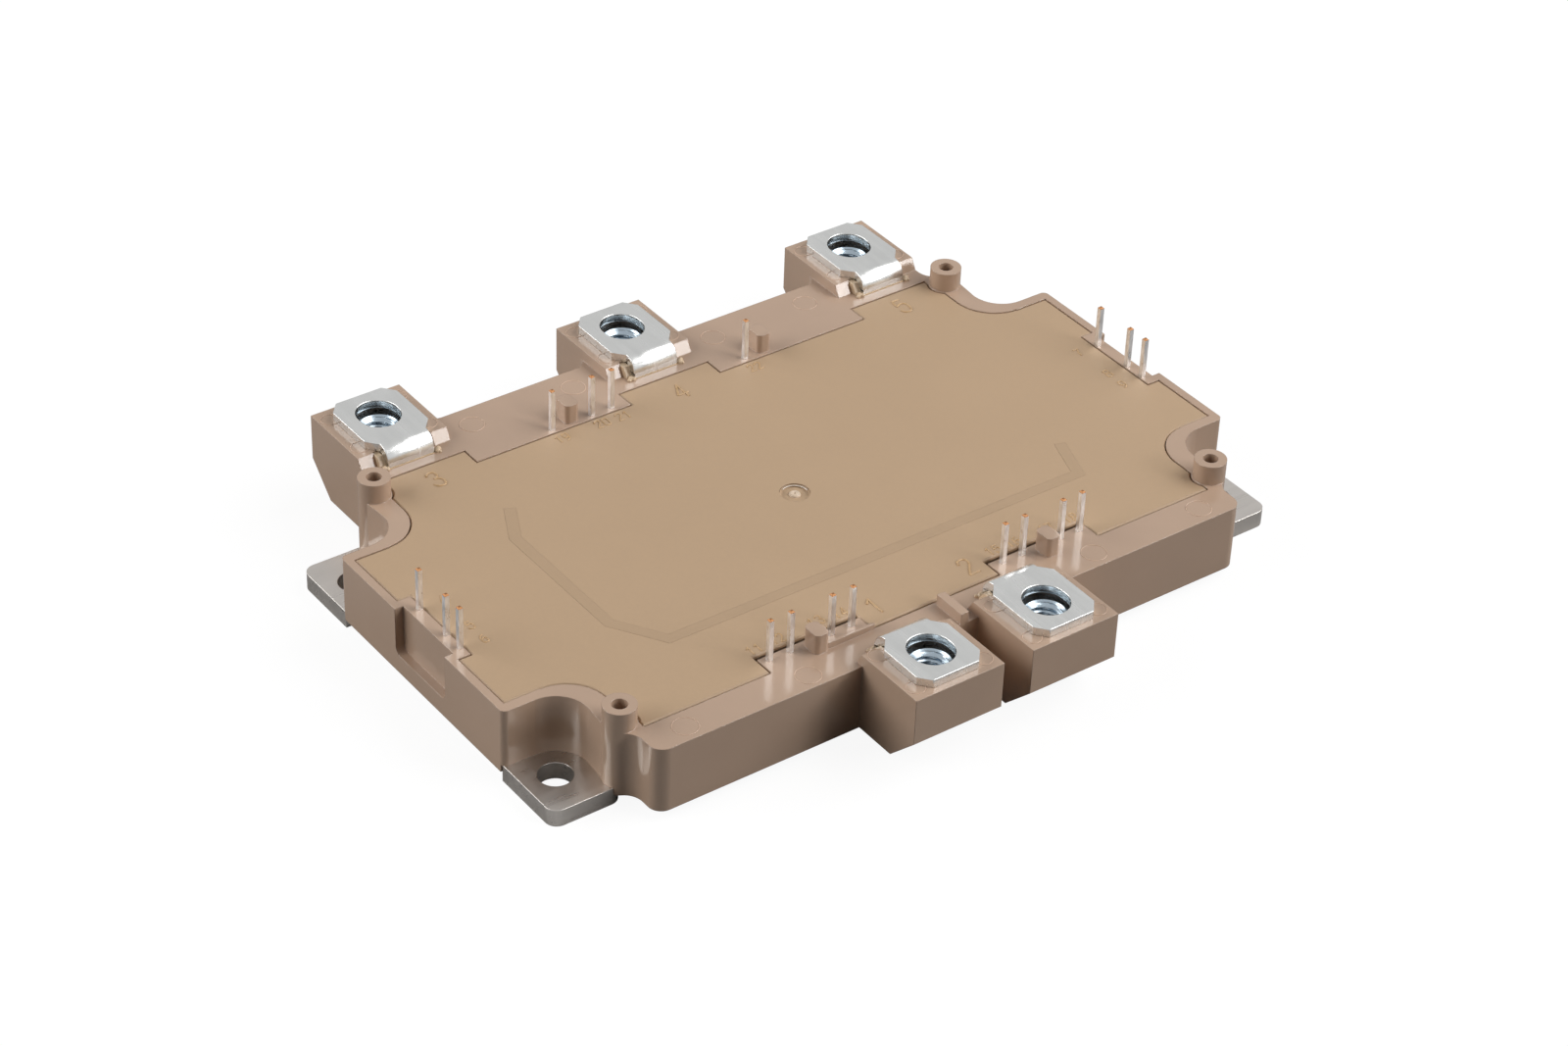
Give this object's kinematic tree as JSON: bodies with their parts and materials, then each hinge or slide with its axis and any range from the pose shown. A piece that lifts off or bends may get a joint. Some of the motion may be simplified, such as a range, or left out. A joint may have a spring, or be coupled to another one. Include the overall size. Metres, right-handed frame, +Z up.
{
  "type": "igbt power module",
  "caption": "Low flat three-phase power semiconductor module: metal base plate, moulded frame with a flat lid, screw terminals on two sides and upright signal pins.",
  "frame": {"origin": "centre of the underside of the base plate, where the module meets the heat sink", "axes": "+X along the module, +Y towards the side with three terminals, +Z up out of the lid"},
  "size_m": [0.1392, 0.1126, 0.0209],
  "materials": {
    "base_nickel": "satin",
    "frame_plastic": "semi_gloss",
    "lid_plastic": "matte",
    "terminal_nickel": "satin",
    "nut_zinc": "satin",
    "pin_tin": "satin",
    "circuit_copper": "satin",
    "ceramic": "matte",
    "silicon": "satin",
    "sensor_ceramic": "matte",
    "wire_aluminium": "satin"
  },
  "bodies": {
    "root": {"base_plate": "base_nickel", "bond_wires_u": "wire_aluminium", "bond_wires_v": "wire_aluminium", "bond_wires_w": "wire_aluminium", "ceramic_u": "ceramic", "ceramic_v": "ceramic", "ceramic_w": "ceramic", "copper_back_u": "circuit_copper", "copper_back_v": "circuit_copper", "copper_back_w": "circuit_copper", "copper_top_u": "circuit_copper", "copper_top_v": "circuit_copper", "copper_top_w": "circuit_copper", "diode_chip_u_high": "silicon", "diode_chip_u_low": "silicon", "diode_chip_v_high": "silicon", "diode_chip_v_low": "silicon", "diode_chip_w_high": "silicon", "diode_chip_w_low": "silicon", "housing": "frame_plastic", "igbt_chip_u_high": "silicon", "igbt_chip_u_low": "silicon", "igbt_chip_v_high": "silicon", "igbt_chip_v_low": "silicon", "igbt_chip_w_high": "silicon", "igbt_chip_w_low": "silicon", "lid": "lid_plastic", "pin_01": "pin_tin", "pin_02": "pin_tin", "pin_03": "pin_tin", "pin_04": "pin_tin", "pin_05": "pin_tin", "pin_06": "pin_tin", "pin_07": "pin_tin", "pin_08": "pin_tin", "pin_09": "pin_tin", "pin_10": "pin_tin", "pin_11": "pin_tin", "pin_12": "pin_tin", "pin_13": "pin_tin", "pin_14": "pin_tin", "pin_15": "pin_tin", "pin_16": "pin_tin", "pin_17": "pin_tin", "pin_18": "pin_tin", "terminal_1": "terminal_nickel", "terminal_2": "terminal_nickel", "terminal_3": "terminal_nickel", "terminal_4": "terminal_nickel", "terminal_5": "terminal_nickel", "terminal_nut_1": "nut_zinc", "terminal_nut_2": "nut_zinc", "terminal_nut_3": "nut_zinc", "terminal_nut_4": "nut_zinc", "terminal_nut_5": "nut_zinc", "thermistor": "sensor_ceramic"}
  },
  "joints": []
}
